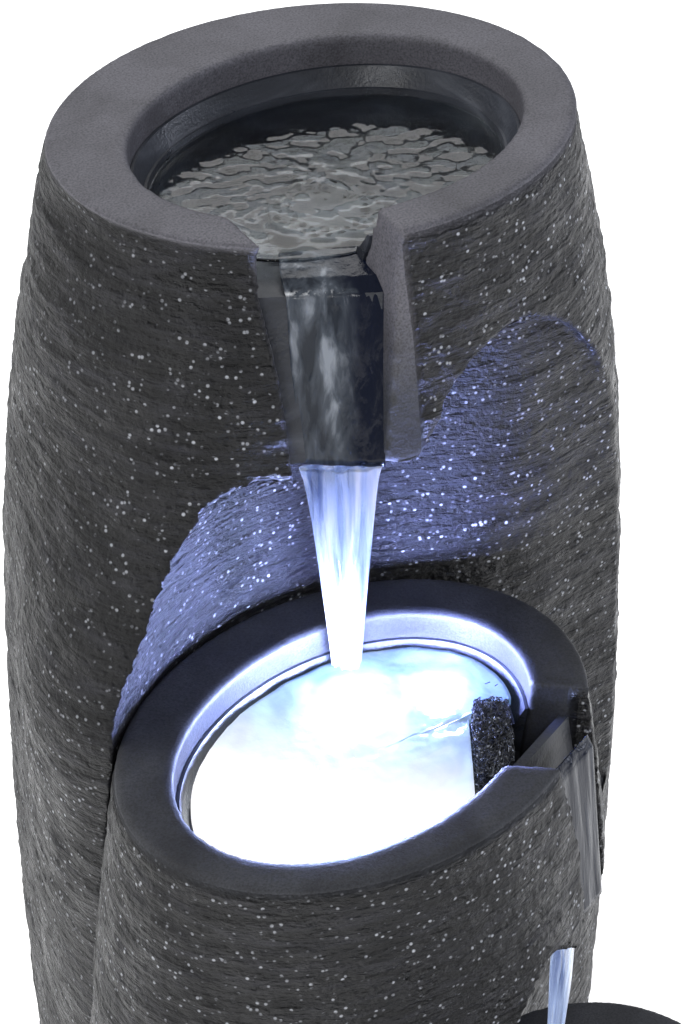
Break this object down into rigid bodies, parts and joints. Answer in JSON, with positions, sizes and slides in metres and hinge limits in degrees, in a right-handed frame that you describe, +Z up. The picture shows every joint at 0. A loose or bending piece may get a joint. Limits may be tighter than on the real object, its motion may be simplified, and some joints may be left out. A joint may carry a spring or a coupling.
{
  "type": "tabletop water fountain",
  "caption": "Tall oval cast-stone fountain of stepped vessels: water rises in the column, pours through a slot into a lit middle bowl, then into a low bowl over the pump.",
  "frame": {"origin": "centre of the footprint's bounding box, on the surface it stands on", "axes": "+Z up; the top slot pours towards -Y; +Y is the back, with the service panel and the cable gland"},
  "size_m": [0.2538, 0.346, 0.414],
  "materials": {
    "cast_stone": "combed, grainy, wet charcoal cast stone",
    "bowl_lining": "smooth charcoal lining",
    "black_plastic": "satin",
    "foam": "open-cell black foam",
    "lens": "frosted",
    "rubber": "matt",
    "board": "white solder mask",
    "chip": "phosphor",
    "hose": "clear flexible tube",
    "steel": "satin",
    "copper": "enamelled copper wire",
    "iron": "laminated",
    "magnet": "ferrite",
    "ceramic": "polished",
    "plastic_white": "satin"
  },
  "bodies": {
    "fountain": {"base_screws": "steel", "bulkhead_fitting": "black_plastic", "bulkhead_nut": "black_plastic", "cable_gland": "black_plastic", "column_base_cover": "black_plastic", "column_shell": "cast_stone", "gland_nut": "black_plastic", "hose_clamps": "steel", "impeller_shaft": "ceramic", "intake_grille": "black_plastic", "lead_grommet": "rubber", "led_board": "board", "led_chips": "chip", "led_gasket": "rubber", "led_housing": "black_plastic", "led_lead": "rubber", "led_lens": "lens", "led_nut": "black_plastic", "lower_basin": "bowl_lining", "lower_vessel": "cast_stone", "middle_base_cover": "black_plastic", "middle_basin": "bowl_lining", "middle_vessel": "cast_stone", "outlet_elbow": "black_plastic", "pump_back_cover": "black_plastic", "pump_body": "black_plastic", "pump_cover": "black_plastic", "pump_hose": "hose", "pump_lead": "rubber", "pump_o_ring": "rubber", "riser_hose": "hose", "rubber_feet": "rubber", "shaft_bushes": "rubber", "stator_coil": "copper", "stator_core": "iron", "suction_cups": "rubber", "top_basin": "bowl_lining", "wall_fitting": "black_plastic", "wall_fitting_nut": "black_plastic"},
    "diffuser_cap": {"diffuser_cap": "black_plastic"},
    "foam_block": {"foam_block": "foam"},
    "drain_grate": {"drain_grate": "black_plastic"},
    "rear_panel": {"rear_panel": "cast_stone"},
    "impeller": {"impeller": "plastic_white", "rotor_magnet": "magnet"},
    "flow_dial": {"flow_dial": "plastic_white"}
  },
  "joints": [
    {"name": "diffuser_lift", "type": "slide", "parent": "fountain", "child": "diffuser_cap", "axis": [0, 0, 1], "range_m": [0, 0.05]},
    {"name": "foam_lift", "type": "slide", "parent": "fountain", "child": "foam_block", "axis": [0, 0, 1], "range_m": [0, 0.18]},
    {"name": "grate_lift", "type": "slide", "parent": "fountain", "child": "drain_grate", "axis": [0, 0, 1], "range_m": [0, 0.32]},
    {"name": "panel_pull", "type": "slide", "parent": "fountain", "child": "rear_panel", "axis": [0, 1, 0], "range_m": [0, 0.06]},
    {"name": "impeller_spin", "type": "hinge", "parent": "fountain", "child": "impeller", "pos_m": [-0.0067, -0.111, 0.037], "axis": [0, 1, 0], "continuous": true},
    {"name": "flow_dial_turn", "type": "hinge", "parent": "fountain", "child": "flow_dial", "pos_m": [-0.0067, -0.126, 0.042], "axis": [0, -1, 0], "range_deg": [0, 120]}
  ]
}
